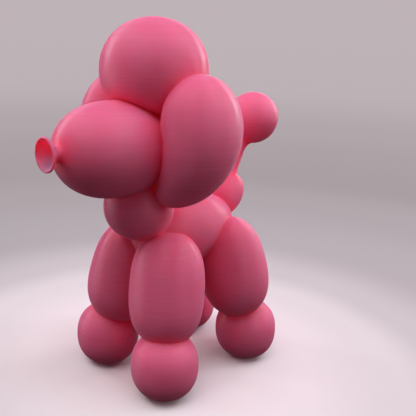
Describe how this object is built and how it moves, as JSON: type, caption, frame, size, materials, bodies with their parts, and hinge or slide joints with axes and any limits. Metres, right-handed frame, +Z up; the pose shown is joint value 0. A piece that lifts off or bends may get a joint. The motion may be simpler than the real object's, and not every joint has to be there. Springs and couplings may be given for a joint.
{
  "type": "balloon poodle figure",
  "caption": "One-piece figure of a balloon-twister's poodle: round topknot, muzzle with an open mouthpiece, bean ears, bubble legs on ball feet, thin tail with a pompom.",
  "frame": {"origin": "on the ground under the middle of the bounding box, in the plane of the soles", "axes": "+Z up, -Y the way the muzzle points, +X the poodle's left side"},
  "size_m": [0.084, 0.1342, 0.16],
  "materials": {
    "pink_plastic": "satin pink printed plastic with fine horizontal layer lines"
  },
  "bodies": {
    "root": {"balloon_poodle": "pink_plastic"}
  },
  "joints": []
}
